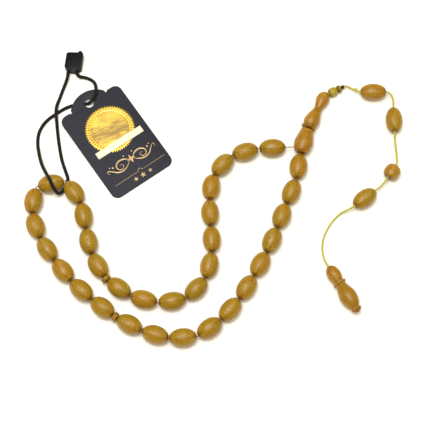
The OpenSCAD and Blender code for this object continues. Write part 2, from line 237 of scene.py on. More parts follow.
class Nodes:
    """Short ways to add and join a material's nodes."""

    def __init__(self, name):
        self.material = bpy.data.materials.new(name)
        self.material.use_nodes = True
        self.tree = self.material.node_tree
        self.shader = self.tree.nodes["Principled BSDF"]

    def add(self, kind, inputs=None, **settings):
        node = self.tree.nodes.new("ShaderNode" + kind)
        for key, value in settings.items():
            setattr(node, key, value)
        for key, value in (inputs or {}).items():
            self.put(node.inputs[key], value)
        return node

    def put(self, socket, value):
        if isinstance(value, bpy.types.NodeSocket):
            self.tree.links.new(value, socket)
        else:
            socket.default_value = value

    def set(self, **values):
        """Shader inputs by name, with _ for a space."""
        for key, value in values.items():
            self.put(self.shader.inputs[key.replace("_", " ")], value)

    def math(self, operation, a, b=0.0, clamp=False):
        node = self.add("Math", operation=operation, use_clamp=clamp)
        self.put(node.inputs[0], a)
        self.put(node.inputs[1], b)
        return node.outputs[0]

    def times(self, a, b):
        return self.math("MULTIPLY", a, b)

    def plus(self, a, b):
        return self.math("ADD", a, b)

    def vector(self, operation, a, b):
        node = self.add("VectorMath", operation=operation)
        self.put(node.inputs[0], a)
        self.put(node.inputs[1], b)
        return node.outputs[0]

    def split(self, vector):
        node = self.add("SeparateXYZ")
        self.put(node.inputs[0], vector)
        return node.outputs

    def local(self):
        """A piece's own coordinates in millimetres, from its mesh."""
        return self.attribute("local").outputs["Vector"]

    def attribute(self, name):
        return self.add("Attribute", attribute_name=name)

    def mix(self, share, a, b, blend="MIX"):
        node = self.add("Mix", data_type="RGBA", blend_type=blend)
        self.put(node.inputs[0], share)
        self.put(node.inputs[6], a)
        self.put(node.inputs[7], b)
        return node.outputs[2]

    def ramp(self, value, *stops):
        """A smooth ramp through (position, level) stops, as a grey level."""
        node = self.add("ValToRGB")
        node.color_ramp.interpolation = "EASE"
        while len(node.color_ramp.elements) < len(stops):
            node.color_ramp.elements.new(0.5)
        for element, (position, level) in zip(node.color_ramp.elements, stops):
            element.position = position
            element.color = (level, level, level, 1)
        self.put(node.inputs[0], value)
        return node.outputs[0]

    def noise(self, where, scale, detail=2, rough=0.5, distortion=0.0):
        node = self.add("TexNoise")
        self.put(node.inputs["Vector"], where)
        self.put(node.inputs["Scale"], scale)
        self.put(node.inputs["Detail"], detail)
        self.put(node.inputs["Roughness"], rough)
        self.put(node.inputs["Distortion"], distortion)
        return node.outputs[0]

    def wave(self, where, scale, distortion, detail, detail_scale, rough):
        """Meandering bands across X."""
        node = self.add("TexWave", wave_type="BANDS", bands_direction="X", wave_profile="SIN")
        values = (where, scale, distortion, detail, detail_scale, rough)
        names = ("Vector", "Scale", "Distortion", "Detail", "Detail Scale", "Detail Roughness")
        for key, value in zip(names, values):
            self.put(node.inputs[key], value)
        return node.outputs["Fac"]

    def bump(self, height, strength, distance):
        node = self.add("Bump")
        self.put(node.inputs["Height"], height)
        self.put(node.inputs["Strength"], strength)
        self.put(node.inputs["Distance"], distance)
        self.put(self.shader.inputs["Normal"], node.outputs[0])


def colour(r, g, b):
    return (r, g, b, 1)


def amber_material(name, olive, warm, pale, deep, streaks_and_glints, cloud, depth, vein):
    """Clouded polished resin. olive and warm drift through it, pale flow lines run across it, partly
    painted highlight where light would catch their ripples, a dark vein runs along it where its
    hole shows through, and it is deep in colour round its holes, partly where the hole shows
    through and partly painted shade where the pieces meet and inside the holes. Its meshes carry
    "local", their own coordinates in millimetres with Z along the hole, "seed", and "ends", the
    mask of that deep colour, which is 1 at a hole's mouth."""
    n = Nodes(name)
    local = n.local()
    seed = n.attribute("seed").outputs["Fac"]
    ends = n.attribute("ends").outputs["Fac"]
    shift = n.add("CombineXYZ")
    for axis, spread in enumerate((37.0, 61.0, 91.0)):
        n.put(shift.inputs[axis], n.times(seed, spread))
    where = n.vector("ADD", local, shift.outputs[0])

    # The flow lines slant across the piece, each piece its own way
    tilt = n.add("VectorRotate", rotation_type="EULER_XYZ")
    turn = n.add("CombineXYZ")
    n.put(turn.inputs[0], n.times(n.math("SINE", n.times(seed, 83.0)), 0.5))
    sway = n.times(n.math("SINE", n.times(seed, 47.0)), 0.45)
    n.put(turn.inputs[1], n.plus(sway, 1.2))
    n.put(tilt.inputs["Vector"], where)
    n.put(tilt.inputs["Rotation"], turn.outputs[0])
    flow = n.wave(tilt.outputs[0], 0.3, 7.0, 3.0, 0.25, 0.6)
    hair = n.wave(tilt.outputs[0], 0.8, 6.0, 4.0, 0.6, 0.65)

    drift = n.plus(n.noise(where, 0.14, 3, 0.55, 0.6), n.times(seed, 0.22))
    body = n.mix(n.ramp(drift, (0.4, 0), (0.85, 1)), olive, warm)
    patches = n.ramp(n.noise(where, 0.33, 4, 0.6, 1.0), (0.48, 0), (0.75, 1))
    body = n.mix(n.times(patches, cloud), body, pale)
    veils = n.ramp(n.noise(where, 0.24, 2, 0.5), (0.4, 0.1), (0.66, 1))
    # Pale flow lines, partly painted highlight where light would catch the ripples
    lines = n.times(n.ramp(flow, (0.65, 0), (1.0, 1)), veils)
    body = n.mix(n.times(lines, streaks_and_glints), body, pale)
    body = n.mix(n.times(n.ramp(hair, (0.0, 1), (0.5, 0)), streaks_and_glints * 0.35), body, deep)
    sideways, _, lengthways = n.split(local)
    wander = n.times(n.math("SUBTRACT", n.noise(where, 0.25, 2, 0.5), 0.5), 0.8)
    aside = n.math("ABSOLUTE", n.plus(sideways, wander))
    along = n.ramp(n.times(n.math("ABSOLUTE", lengthways), 0.16), (0.1, 0.3), (0.8, 1))
    line = n.times(n.ramp(aside, (0.06, 1), (0.4, 0)), along)
    body = n.mix(n.times(line, vein), body, deep)
    grain = n.ramp(n.noise(where, 3.2, 2, 0.6), (0.3, 0), (0.7, 1))
    body = n.mix(n.times(grain, 0.08), body, deep)
    # Painted shade: deep colour towards the holes' mouths and inside the holes, where the pieces meet
    body = n.mix(n.times(ends, 0.85), body, deep)

    wear = n.noise(where, 0.9, 4, 0.65)
    n.set(
        Base_Color=body,
        Roughness=n.plus(n.times(wear, 0.16), 0.24),
        IOR=1.5,
        Specular_IOR_Level=0.36,
        Subsurface_Weight=depth,
        Subsurface_Radius=(0.8, 0.68, 0.1),
        Subsurface_Scale=0.005,
    )
    veiled_flow = n.times(n.times(flow, veils), 0.8)
    ripple = n.plus(veiled_flow, n.times(hair, 0.1))
    n.bump(n.plus(ripple, n.noise(where, 0.55, 3, 0.5)), 0.7, 0.00016)
    return n.material


def thread_material(name, light, dark, fibres, sheen, roughness=0.75):
    """Twisted yarn: its fibres wind round each ply in darker stripes, partly darker fibres and partly
    painted shade for the grooves between them.
    """
    n = Nodes(name)
    along, around, ply = n.split(n.attribute("weave").outputs["Vector"])
    turns = n.plus(n.times(along, fibres), n.times(around, 3.0))
    stripe = n.math("SINE", n.times(turns, TURN))
    wander = n.add("CombineXYZ")
    n.put(wander.inputs[0], along)
    n.put(wander.inputs[1], n.times(around, 2.0))
    n.put(wander.inputs[2], n.times(ply, 9.0))
    fuzz = n.noise(wander.outputs[0], 4.0, 3, 0.7)
    # Darker stripes winding round each ply: darker fibres, with painted shade for the grooves
    level = n.plus(n.times(stripe, 0.28), fuzz)
    n.set(
        Base_Color=n.mix(n.ramp(level, (0.25, 0), (0.8, 1)), dark, light),
        Roughness=roughness,
        Sheen_Weight=sheen,
        Sheen_Roughness=0.4,
        Specular_IOR_Level=0.25,
    )
    n.bump(level, 0.5, 0.00006)
    return n.material


# Colours are linear light, as a shader takes them.
bead_amber = amber_material(
    "bead_amber", colour(0.285, 0.185, 0.008), colour(0.335, 0.175, 0.008), colour(0.58, 0.41, 0.055),
    colour(0.16, 0.068, 0.003), streaks_and_glints=0.38, cloud=0.12, depth=0.9, vein=0.7,
)
leader_amber = amber_material(
    "leader_amber", colour(0.29, 0.16, 0.006), colour(0.33, 0.15, 0.006), colour(0.62, 0.43, 0.055),
    colour(0.14, 0.058, 0.002), streaks_and_glints=0.5, cloud=0.2, depth=0.9, vein=0.15,
)
button_amber = amber_material(
    "button_amber", colour(0.33, 0.25, 0.03), colour(0.36, 0.25, 0.025), colour(0.55, 0.48, 0.12),
    colour(0.2, 0.13, 0.012), streaks_and_glints=0.3, cloud=0.3, depth=0.9, vein=0.2,
)
washer_brown = amber_material(
    "washer_brown", colour(0.22, 0.13, 0.02), colour(0.24, 0.12, 0.015), colour(0.36, 0.25, 0.05),
    colour(0.08, 0.03, 0.005), streaks_and_glints=0.3, cloud=0.3, depth=0.2, vein=0,
)
loop_cord = thread_material(
    "loop_cord", colour(0.36, 0.18, 0.03), colour(0.16, 0.07, 0.01), fibres=0.9, sheen=0.0
)
tassel_thread = thread_material(
    "tassel_thread", colour(0.72, 0.7, 0.1), colour(0.25, 0.23, 0.015), fibres=1.2, sheen=0.2,
    roughness=0.6,
)
knot_thread = thread_material(
    "thread_knot", colour(0.05, 0.055, 0.012), colour(0.015, 0.018, 0.004), fibres=1.2, sheen=0.15
)
black_string = thread_material(
    "tag_string", colour(0.009, 0.008, 0.01), colour(0.002, 0.002, 0.003), fibres=0.8, sheen=0.1
)


# ---- cords, which come first ----

# The routes of the free cords, in millimetres, as the CAD has them
THREAD_1_ROUTE = [
    (50.4, 47.26, 3), (50.98, 48.42, 2.92), (51.6, 48.75, 2.6), (52.5, 48.55, 2.3),
    (54.4, 49.45, 2.2), (56.7, 50.7, 2.2), (58.86, 51.92, 2.2), (60.3, 52.5, 2.1),
    (61.6, 52.2, 1.8), (63, 51.5, 1.6), (64.9, 50.4, 2.4), (66.4, 49.1, 3.5),
    (68.2, 48.8, 3.77),
    (72.7, 48.8, 3.77), (77.2, 48.8, 3.77), (79.3, 48.6, 3.72), (81, 47.4, 3.5),
    (81.7, 45.2, 3.4), (81.7, 43.2, 3.65), (81.6, 41.8, 3.75),
]
THREAD_2_ROUTE = [
    (81.6, 41.2, 3.77), (81.6, 38, 3.77), (81.6, 34.9, 3.77), (81.6, 31, 3.77),
    (81.6, 27, 3.77), (81.7, 24.5, 3.2), (82, 21, 2.6), (82.2, 17.4, 2.8), (82, 14.4, 3.4),
    (81.2, 12, 3.62), (79.6, 9.8, 3.62), (78, 7.6, 3.62), (76.4, 5.4, 3.5),
    (74.5, 3.2, 3.5), (73, 1.9, 3.7), (72.3, 1.35, 3.77),
]
THREAD_3_ROUTE = [
    (71.85, 1, 3.77), (69.2, -1, 3.77), (66.8, -2.8, 3.77), (64, -4.9, 3.77),
    (60.9, -7.2, 3.7), (59.2, -7.9, 2.9), (56.9, -8.6, 1.5), (54.7, -10.2, 0.7),
    (52.4, -12.8, 0.45), (50, -16.4, 0.45), (48.1, -21, 0.45), (47.6, -25.8, 0.5),
    (48.2, -30, 1), (49.2, -32.7, 2.2), (50.1, -34.3, 2.85), (51.2, -36.2, 3),
]
STRING_ROUTE = [
    (-67.8, 59.4, 2.2), (-68.2, 56.4, 1.7), (-69.8, 51.8, 0.8), (-71.3, 47, 0.7),
    (-72.4, 43.2, 1.3), (-72.6, 39.8, 1.95), (-72.4, 36.4, 1.3), (-71.9, 32, 0.65),
    (-70.9, 25, 0.65), (-69.3, 17, 0.65), (-67.4, 11.4, 0.65), (-66.2, 7.8, 0.65),
    (-66.6, 5.4, 0.65), (-67.5, 2.8, 0.75), (-68.6, 0.8, 1.7), (-69.7, -0.4, 3.4),
    (-70.8, -0.1, 5.9), (-71.9, 1.5, 8), (-73.2, 4.4, 8.85), (-75.1, 7.8, 7.9),
    (-77, 11.6, 5.5), (-78.5, 15.6, 3.2), (-79.7, 20, 1.3), (-80.5, 24.5, 0.65),
    (-80.3, 29, 0.65), (-79, 32.6, 0.65), (-76.6, 36, 0.65), (-72.4, 39.4, 0.65),
    (-68.5, 42, 0.65), (-65, 43.4, 0.65), (-62, 44, 0.65), (-60.2, 44.1, 0.67),
    (-58.9, 44.1, 0.95), (-57.6, 44.2, 1.75), (-56.5, 44.7, 2.7), (-55.6, 45.7, 3.15),
    (-54.8, 47.5, 3.25), (-54.5, 49.6, 3.25), (-54.7, 51.8, 2.7), (-55.6, 54.6, 1.3),
    (-57.6, 56.4, 0.8), (-60.2, 57.2, 1.2), (-62.3, 57.4, 1.7), (-63.5, 58.4, 2.1),
    (-63.58, 59.8, 2.2),
]
THREAD_D = 0.8 * MM
THREAD_LAY = 1.5 * MM  # how far along one turn of the plies takes
THREAD_STEP = 0.17 * MM  # from one ring of the mesh to the next
STRING_D = 1.2 * MM
STRING_LAY = 3 * MM
STRING_STEP = 0.24 * MM
TABLE_CLEAR = 0.02 * MM  # the least height of a free cord over the table
PLIES_REACH = {2: 1.3, 3: 1.4}  # how much wider the plies' crowns reach than the cord's thickness


def free_cord(node, route, diameter, plies, lay, gap, material, starts=None, ends=None):
    """A twisted free cord along its CAD route. starts and ends are joints' places to reach."""
    points = [place(*p) for p in route]
    if starts:
        points[0] = Vector(joint_of[starts]["pos_m"])
    if ends:
        points[-1] = Vector(joint_of[ends]["pos_m"])
    line = evenly(smooth_line(points, 12), gap)
    mesh = twisted_cord(node, line, PLIES_REACH[plies] * diameter, plies, lay)
    for vertex in mesh.vertices:
        vertex.co.z = max(vertex.co.z, TABLE_CLEAR)
    piece = finish_piece(node, mesh, node, material)
    piece.name = node + "_yarn"
    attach(piece, body_of[node])
    return piece, line


thread_1, thread_1_line = free_cord(
    "thread_1", THREAD_1_ROUTE, THREAD_D, 2, THREAD_LAY, THREAD_STEP, tassel_thread,
    ends="middle_tassel",
)
thread_2, thread_2_line = free_cord(
    "thread_2", THREAD_2_ROUTE, THREAD_D, 2, THREAD_LAY, THREAD_STEP, tassel_thread,
    starts="middle_tassel", ends="lower_tassel",
)
thread_3, thread_3_line = free_cord(
    "thread_3", THREAD_3_ROUTE, THREAD_D, 2, THREAD_LAY, THREAD_STEP, tassel_thread,
    starts="lower_tassel",
)
tag_string, tag_string_line = free_cord(
    "tag_string", STRING_ROUTE, STRING_D, 3, STRING_LAY, STRING_STEP, black_string
)


KNOT_STEPS = 14  # points to a turn of a wound knot


def wound_knot(name, centre, direction, core, thread, turns, node, body, material):
    """A tight knot: a thread wound round a cord's line, over itself in a small hump."""
    direction = direction.normalized()
    side = direction.orthogonal().normalized()
    up = direction.cross(side)
    steps = int(turns * KNOT_STEPS)
    line = []
    for i in range(steps + 1):
        t = i / steps
        hump = core + 0.35 * thread * math.sin(math.pi * t)
        along = (t - 0.5) * thread * (turns - 0.6)
        turn = TURN * turns * t
        line.append(
            centre + direction * along + hump * (math.cos(turn) * side + math.sin(turn) * up)
        )
    mesh = twisted_cord(name, line, thread, 2, THREAD_LAY, sides=7)
    piece = finish_piece(name, mesh, node, material)
    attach(piece, body)
    return piece


button_way = way(29)
knot = wound_knot(
    "green_knot", middle("thread_knot"), button_way, 0.5 * MM, 0.62 * MM, 3, "thread_knot",
    "upper_tassel", knot_thread,
)
kink_at = place(64.9, 50.4, 2.4)
kink = wound_knot(
    "thread_1_kink", kink_at, place(1.5, -1.3, 0.9), 0.45 * MM, 0.6 * MM, 2, None,
    "upper_tassel", tassel_thread,
)


# ---- turned pieces ----


def turned_mesh(name, outline, segments, seed, waver=0.0):
    """A turned solid about Z from a closed outline of (radius, height, ends), radius and height in
    millimetres, ends how deep in colour a point is, painted shade near the holes.
    """
    rng = random.Random(name)
    shift = Vector((rng.uniform(-50, 50), rng.uniform(-50, 50), rng.uniform(-50, 50)))
    vertices, local, end_values, faces = [], [], [], []
    count = len(outline)
    for k in range(segments):
        a = TURN * k / segments
        for radius, height, end in outline:
            point = Vector((radius * math.cos(a), radius * math.sin(a), height))
            if waver and radius > 1:
                bulge = noise.noise(point * 0.22 + shift) * waver
                point += Vector((math.cos(a), math.sin(a), 0)) * (bulge - waver)
            vertices.append(point * MM)
            local.append(point)
            end_values.append(end)
    for k in range(segments):
        for i in range(count):
            a, b = k * count + i, k * count + (i + 1) % count
            c, d = ((k + 1) % segments) * count + (i + 1) % count, ((k + 1) % segments) * count + i
            faces.append((a, d, c, b))
    return mesh_of(
        name, vertices, faces, local=local, ends=end_values, seed=[seed] * len(vertices)
    )


def roughen(mesh, start):
    """Makes the end of a turned mesh above a height in millimetres uneven, as if nipped off."""
    for vertex in mesh.vertices:
        height = vertex.co.z / MM
        if height > start and vertex.co.xy.length > 0.2 * MM:
            swell = 1 + noise.noise(vertex.co / MM * 1.7) * 0.28 * min(1, (height - start) / 0.5)
            vertex.co.x *= swell
            vertex.co.y *= swell
            vertex.co.z += noise.noise(vertex.co / MM * 2.1 + Vector((9, 9, 9))) * 0.12 * MM


def turned(
    name, node, outline, at, direction, material, segments=56, roll=0.0, waver=0.0, rough=None
):
    """A turned piece laid with its own Z along a direction, that stands for a node."""
    seed = random.Random(node + "seed").uniform(0, 1)
    mesh = turned_mesh(name, outline, segments, seed, waver)
    if rough:
        roughen(mesh, rough)
    turn = Vector((0, 0, 1)).rotation_difference(direction) @ Quaternion((0, 0, 1), roll)
    mesh.transform(Matrix.Translation(at) @ turn.to_matrix().to_4x4())
    piece = finish_piece(name, mesh, node, material, sharp=50)
    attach(piece, body_of[node])
    return piece


def end_shade(height, low, high, reach):
    """1 at either end of a piece from low to high, fading out over a reach: the mask of the deeper colour
    at a piece's ends, which near a hole is painted shade.
    """
    near = min(height - low, high - height)
    t = max(0.0, min(1.0, 1 - near / reach))
    return t * t * (3 - 2 * t)


def bored(profile, bore, low, high, reach, lip=0.22):
    """A closed outline: the outer profile of (radius, height) points, from the lower mouth to the
    upper one, then a rounded lip, and back down the bore."""
    r = bore / 2
    mouths = [(r + lip * 0.25, high - lip * 0.08), (r, high - lip)]
    bottom = [(r, low + lip), (r + lip * 0.25, low + lip * 0.08)]
    steps = 8
    wall = [(r, high - lip + (low - high + 2 * lip) * k / steps) for k in range(1, steps)]
    points = list(profile) + mouths + wall + bottom
    # The third value is how deep in colour a point is: painted shade, 1 inside the hole and fading in
    # towards either mouth
    return [
        (radius, height, 1.0 if radius <= r + 0.01 else end_shade(height, low, high, reach))
        for radius, height in points
    ]


def oval_profile(length, diameter, fullness, mouth, steps=40):
    """The side of a full oval from one mouth of its hole to the other."""
    first = math.asin((2 * mouth / diameter) ** (fullness / 2))
    power = 2 / fullness
    points = []
    for k in range(steps + 1):
        a = first + k * (math.pi - 2 * first) / steps
        c = math.cos(a)
        points.append(
            (
                diameter / 2 * math.sin(a) ** power,
                -length / 2 * math.copysign(abs(c) ** power, c),
            )
        )
    return points


def roll_up(direction):
    """The roll about its own Z that leaves a piece's own Y facing up, a little to the front."""
    lay = Vector((0, 0, 1)).rotation_difference(direction)
    up = lay.inverted() @ Vector((0, -0.33, 1))
    return math.atan2(up.y, up.x) - math.pi / 2


def oval_bead(name, node, length, diameter, fullness, bore, direction, material):
    """One bead. No two are turned or polished quite the same."""
    rng = random.Random(node)
    long = length * (1 - 0.006 * rng.random())
    wide = diameter * (1 - 0.012 * rng.random())
    profile = oval_profile(long, wide, fullness + rng.uniform(-0.05, 0.05), bore / 2 + 0.3)
    low, high = profile[0][1], profile[-1][1]
    outline = bored(profile, bore, low, high, reach=1.3)
    at = middle(node)
    return turned(
        name, node, outline, at, direction, material,
        roll=roll_up(direction) + rng.uniform(-0.3, 0.3), waver=0.035,
    )


BEAD_L, BEAD_D, BEAD_FULLNESS, BEAD_BORE = 11.97, 8.18, 2.06, 1.2
TASSEL_L, TASSEL_D, TASSEL_FULLNESS, TASSEL_BORE = 12.1, 7.65, 2.1, 1.6

for number in range(1, BEADS + 1):
    bead_node = f"bead_{number:02d}"
    oval_bead(
        f"prayer_bead_{number:02d}", bead_node, BEAD_L, BEAD_D, BEAD_FULLNESS, BEAD_BORE,
        axis_of(bead_node), bead_amber,
    )


PRESS_GAP = 0.03 * MM


def press_clear(cord, other):
    """Flattens a cord's plies where they press on a piece, so that they only lie against it."""
    faces = [tuple(polygon.vertices) for polygon in other.data.polygons]
    tree = BVHTree.FromPolygons([vertex.co for vertex in other.data.vertices], faces)
    for vertex in cord.data.vertices:
        spot, normal, _, _ = tree.find_nearest(vertex.co, 0.5 * MM)
        if spot and (vertex.co - spot).dot(normal) < PRESS_GAP:
            vertex.co = spot + PRESS_GAP * normal


for pressed in ("prayer_bead_17", "prayer_bead_18"):
    press_clear(tag_string, bpy.data.objects[pressed])

tassel_ways = {"tassel_bead_1": way(0), "tassel_bead_2": way(270), "tassel_bead_3": way(217)}
for bead_node, direction in tassel_ways.items():
    oval_bead(
        bead_node + "_amber", bead_node, TASSEL_L, TASSEL_D, TASSEL_FULLNESS, TASSEL_BORE,
        direction, bead_amber,
    )


def counting_disc(node):
    """A small disc with a groove round its rim and rounded edges."""
    rim, half, groove = 2.3, 0.8, 0.32
    mouth_r, shade = 1.2, 0.3  # the depth of colour from this radius outwards
    profile = [(0.9, -half), (1.5, -half)]
    for k in range(5):
        a = math.radians(-90 + 18 * k)
        profile.append((rim - 0.3 + 0.3 * math.cos(a), -half + 0.3 + 0.3 * math.sin(a)))
    steps = 8
    for k in range(steps + 1):
        t = -1 + 2 * k / steps
        profile.append((rim - groove * math.cos(t * math.pi / 2) ** 2, t * (half - 0.32)))
    for k in range(5):
        a = math.radians(18 * k + 18)
        profile.append((rim - 0.3 + 0.3 * math.cos(a), half - 0.3 + 0.3 * math.sin(a)))
    profile += [(1.5, half), (0.9, half)]
    outline = bored(profile, BEAD_BORE, -half, half, reach=0.25)
    outline = [(r, h, shade if r > mouth_r else e) for r, h, e in outline]
    turned(node + "_amber", node, outline, middle(node), axis_of(node), bead_amber)


counting_disc("disc_1")
counting_disc("disc_2")


def side_profile(points, steps):
    line = smooth_line([Vector((r, h, 0)) for r, h in points], steps)
    return [(p.x, p.y) for p in line]


# ---- the leader ----

LEADER_BORE = 1.8
BASE_BORE = 2.2
BASE_WAY = way(73, -2.7)
BASE_L = 12.2
collar_at = Vector(joint_of["collar"]["pos_m"])
stem_at = Vector(joint_of["stem"]["pos_m"])
stem_way = axis_of("stem")
stem_l = (Vector(joint_of["upper_tassel"]["pos_m"]) - stem_at).length / MM
LEADER_GAP = 0.45


def paler(outline):
    """The same outline, with less painted shade at its holes' edges."""
    return [(radius, height, end if end == 1 else 0.45 * end) for radius, height, end in outline]


base_profile = side_profile(
    [
        (1.8, 0), (3.15, 0.85), (4.28, 4.5), (3.98, 7.2), (3.3, 9.8), (2.9, 11.4),
        (1.5, BASE_L)
    ],
    9,
)
base_at = collar_at - (BASE_L + LEADER_GAP) * MM * BASE_WAY
turned(
    "leader_base_amber", "leader_base", paler(bored(base_profile, BASE_BORE, 0, BASE_L, 1.0)),
    base_at, BASE_WAY, leader_amber,
    segments=72, waver=0.03,
)
collar_profile = side_profile(
    [(2.3, 0), (2.9, 0.03), (3.35, 0.3), (3.4, 0.5), (3.35, 0.7), (2.9, 0.97), (2.3, 1)], 4
)
turned(
    "leader_collar_amber", "leader_collar",
    [(r, h, 0.3) for r, h, _ in bored(collar_profile, LEADER_BORE, 0, 1, 0.2, lip=0.12)],
    collar_at, stem_way, leader_amber, segments=72,
)
stem_profile = side_profile(
    [
        (2.75, 0), (3.35, 1.5), (3.55, 3.3), (2.95, 6), (1.96, 9), (1.91, 10.8), (2.7, 13.2),
        (3.0, 15), (2.6, 17.1), (1.4, stem_l)
    ],
    8,
)
turned(
    "leader_stem_amber", "leader_stem", paler(bored(stem_profile, LEADER_BORE, 0, stem_l, 1.0)),
    stem_at, stem_way, leader_amber, segments=72, waver=0.03,
)

BUTTON_L, BUTTON_D = 4.7, 4.5
oval_bead(
    "button_pale", "button", BUTTON_L, BUTTON_D, 2.4, LEADER_BORE, button_way,
    button_amber,
)
washer_profile = side_profile(
    [
        (1.05, -0.75), (1.45, -0.72), (1.72, -0.42), (1.8, 0), (1.72, 0.42), (1.45, 0.72), (1.05, 0.75)
    ],
    3,
)
turned(
    "washer_amber", "washer", bored(washer_profile, TASSEL_BORE, -0.75, 0.75, 0.2, lip=0.1),
    middle("washer"), button_way, washer_brown, waver=0.03,
)

barrel_l, barrel_r = 6.8, 3.6
barrel_profile = oval_profile(barrel_l, 2 * barrel_r, 2.7, 1.25)
turned(
    "tassel_barrel_amber", "tassel_barrel",
    bored(barrel_profile, TASSEL_BORE, barrel_profile[0][1], barrel_profile[-1][1], 0.8),
    middle("tassel_barrel"), axis_of("tassel_barrel"), bead_amber, waver=0.03,
)


def pendant():
    """The end drop: a bulb, a thin ring, a long body and a rough nipped tip. Its hole is blind."""
    side = side_profile(
        [
            (1.1, 0), (1.5, 0.1), (2.6, 1.5), (3.1, 4.2), (2.7, 6.4), (2.3, 7.6), (2.45, 7.95),
            (3.0, 8.25), (3.1, 8.6), (3.0, 8.95), (2.45, 9.25), (2.4, 9.7), (2.9, 11.6),
            (3.7, 14.2), (3.85, 16.2), (3.3, 19), (1.9, 21.4), (2.15, 21.9), (2.1, 22.4),
            (1.3, 23.2), (0.6, 23.7), (0.05, 23.75),
        ],
        6,
    )
    bore = [(0.05, 5.4), (0.6, 5.6), (TASSEL_BORE / 2, 5.3), (TASSEL_BORE / 2, 3),
            (TASSEL_BORE / 2, 1), (0.85, 0.1)]
    # Deep colour at the hole's mouth is painted shade where the thread goes in; the tip is deeper in
    # colour over its last 3 mm
    outline = [(r, h, max(end_shade(h, 0, 60, 1.0), end_shade(h, -60, 23.9, 3.0))) for r, h in side]
    outline += [(r, h, 1.0) for r, h in bore]
    joint = joint_of["pendant"]
    turned(
        "pendant_amber", "pendant", outline, Vector(joint["pos_m"]), axis_of("pendant"),
        leader_amber, segments=72, waver=0.03, rough=21.4,
    )


pendant()


# ---- the loop's cord ----

CORD_D = 0.6 * MM
CORD_LAY = 1.8 * MM
CORD_STEP = 0.35 * MM
bead_way = {n: axis_of(f"bead_{n:02d}") for n in range(1, BEADS + 1)}
bead_at = {n: middle(f"bead_{n:02d}") for n in range(1, BEADS + 1)}


def bend(v):
    """Where the cord bends between bead v and the next: where the two beads' axes cross."""
    a, b = bead_at[v], bead_at[v + 1]
    u, w = bead_way[v], bead_way[v + 1]
    cross = u.x * w.y - u.y * w.x
    if abs(cross) < 0.02:
        return (a + b) / 2
    t = ((b.x - a.x) * w.y - (b.y - a.y) * w.x) / cross
    return a + u * t


def loop_cord_line(start, end, first, last):
    """From a bend or a place to another, straight through the beads and rounded at the bends."""
    soft = 0.5 * MM
    line = [start]
    for v in range(first, last):
        corner = bend(v)
        a, b = corner - soft * bead_way[v], corner + soft * bead_way[v + 1]
        line += [a, (a + b + 2 * corner) / 4, b]
    return line + [end]


def loop_cord_piece(name, node, lines):
    vertices, faces, weave = [], [], []
    for line in lines:
        part = twisted_cord(
            name + "_part", evenly(line, CORD_STEP), CORD_D, 2, CORD_LAY, sides=6
        )
        offset = len(vertices)
        vertices += [v.co.copy() for v in part.vertices]
        faces += [tuple(offset + i for i in p.vertices) for p in part.polygons]
        weave += [tuple(d.vector) for d in part.attributes["weave"].data]
        bpy.data.meshes.remove(part)
    piece = finish_piece(name, mesh_of(name, vertices, faces, weave=weave), node, loop_cord)
    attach(piece, body_of[node])


up_base = base_at + 1.6 * MM * BASE_WAY
loop_start = bead_at[1] - (BEAD_L / 2 + 0.3) * MM * bead_way[1]
in_side = bead_at[33] + (BEAD_L / 2 + 5.4) * MM * bead_way[33]
loop_cord_piece(
    "loop_cord_leader", "cord_leader",
    [
        [up_base, base_at - 0.1 * MM * BASE_WAY, loop_start, bend(1)],
        [bend(32), in_side],
    ],
)
loop_cord_piece("loop_cord_outer", "cord_outer", [loop_cord_line(bend(1), bend(8), 2, 8)])
loop_cord_piece("loop_cord_tip", "cord_tip", [loop_cord_line(bend(8), bend(24), 9, 24)])
loop_cord_piece("loop_cord_inner", "cord_inner", [loop_cord_line(bend(24), bend(32), 25, 32)])


# ---- the hang tag ----

CARD_W, CARD_TOP, CARD_BOTTOM, CARD_T = 32.0, 0.8, -45.9, 0.5
CORNER_R, TAB_R, TAB_Y, NOTCH_R, HOLE_R = 3.3, 11.6, -5.8, 0.6, 2.2
hole_at = Vector(joint_of["tag"]["pos_m"])
card_normal = axis_of("tag")
CARD_HEADING = 35
across = way(CARD_HEADING)
up_card = card_normal.cross(across).normalized()
card_matrix = Matrix.Translation(hole_at) @ Matrix(
    (
        (across.x, up_card.x, card_normal.x, 0), (across.y, up_card.y, card_normal.y, 0),
        (across.z, up_card.z, card_normal.z, 0), (0, 0, 0, 1),
    )
)


TAB_SWEEP = 8.4  # how far from the hole the string still passes over the swinging tab's edge


def rest_string_on_tab():
    """Flattens the string's underside by the tab's edge, so that the edge can swing under it."""
    to_card = card_matrix.inverted()
    least = (CARD_T + 0.06) * MM
    for vertex in tag_string.data.vertices:
        p = to_card @ vertex.co
        if p.x > 5 * MM and p.y > 0 and p.xy.length < TAB_SWEEP * MM and p.z < least:
            vertex.co = card_matrix @ Vector((p.x, p.y, least))


rest_string_on_tab()


def arc(x, y, radius, start, end, steps):
    """Points of an arc, from one angle in degrees to another."""
    return [
        Vector(
            (
                x + radius * math.cos(math.radians(start + (end - start) * k / steps)),
                y + radius * math.sin(math.radians(start + (end - start) * k / steps)), 0,
            )
        )
        for k in range(steps + 1)
    ]


